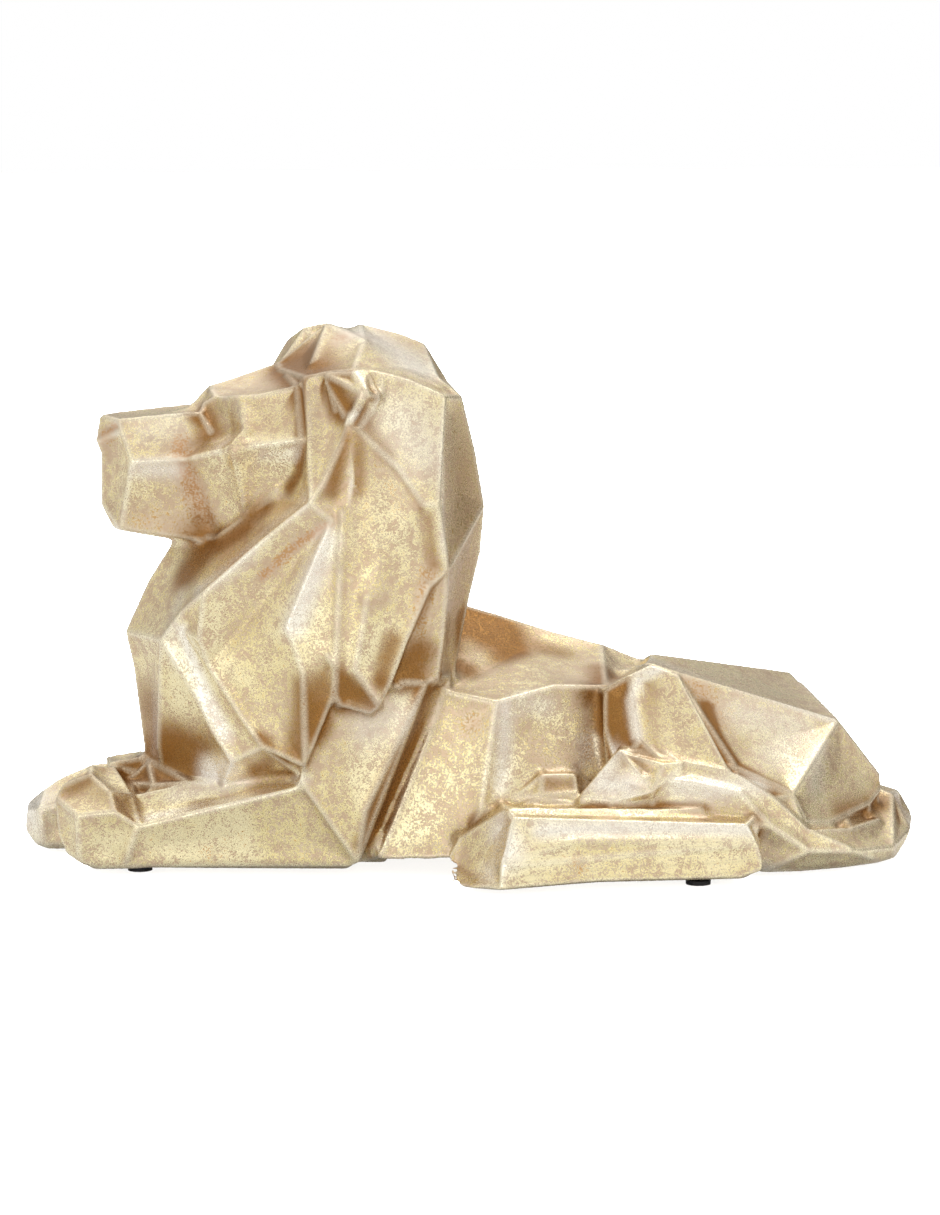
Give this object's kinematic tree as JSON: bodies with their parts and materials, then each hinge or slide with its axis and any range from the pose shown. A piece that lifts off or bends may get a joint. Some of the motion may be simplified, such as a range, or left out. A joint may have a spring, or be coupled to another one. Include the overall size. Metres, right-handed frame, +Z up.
{
  "type": "lion figurine",
  "caption": "Lying lion cut in flat facets, with a tall mane and one hind foot laid out in front, gilt all over and standing on small round rubber pads.",
  "frame": {"origin": "on the ground under the middle of the bounding box", "axes": "-X to the muzzle, -Y to the side with the laid-out hind foot, +Z up"},
  "size_m": [0.368, 0.1784, 0.219],
  "materials": {
    "gilt_resin": "worn metal leaf over a pink ground, satin",
    "pad_rubber": "matt black"
  },
  "bodies": {
    "root": {"lion": "gilt_resin", "pad_fore_near": "pad_rubber", "pad_fore_far": "pad_rubber", "pad_hind_near": "pad_rubber", "pad_hind_far": "pad_rubber"}
  },
  "joints": []
}
